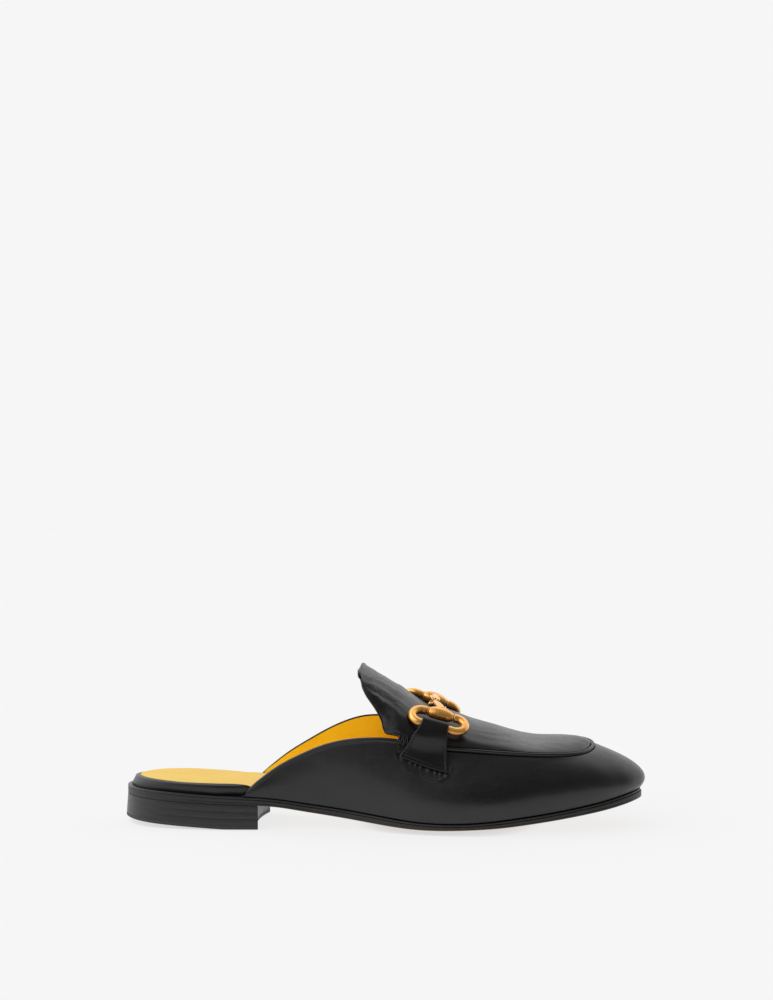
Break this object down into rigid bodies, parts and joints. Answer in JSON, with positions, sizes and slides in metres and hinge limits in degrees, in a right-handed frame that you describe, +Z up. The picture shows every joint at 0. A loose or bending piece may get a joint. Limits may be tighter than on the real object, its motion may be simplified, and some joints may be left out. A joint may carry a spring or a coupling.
{
  "type": "backless loafer",
  "caption": "Backless leather loafer for the right foot, with a raised apron seam, saddle tabs holding a jointed snaffle bit, a thin leather sole and a low stacked heel.",
  "frame": {"origin": "on the floor, in the middle of the flat of the heel's tread", "axes": "+X from the heel towards the toe, +Y towards the medial side, +Z up"},
  "size_m": [0.2639, 0.0797, 0.0805],
  "materials": {
    "black_leather": "smooth black calf leather with a soft polish",
    "yellow_leather": "matt golden-yellow lining leather",
    "sole_leather": "dark stained sole leather with a waxed edge",
    "black_edge": "black dyed and burnished leather edge",
    "heel_rubber": "matt black heel rubber",
    "brass": "polished, slightly aged brass"
  },
  "bodies": {
    "root": {"outsole": "sole_leather", "midsole": "black_edge", "insole": "black_leather", "sock": "yellow_leather", "heel_lift_1": "black_edge", "heel_lift_2": "black_edge", "heel_lift_3": "black_edge", "heel_top_piece": "heel_rubber", "upper": "black_leather", "saddle_tab_lateral": "black_leather", "saddle_tab_medial": "black_leather", "bit_ring_lateral": "brass", "bit_ring_medial": "brass", "bit_arm_lateral": "brass", "bit_arm_medial": "brass"}
  },
  "joints": []
}
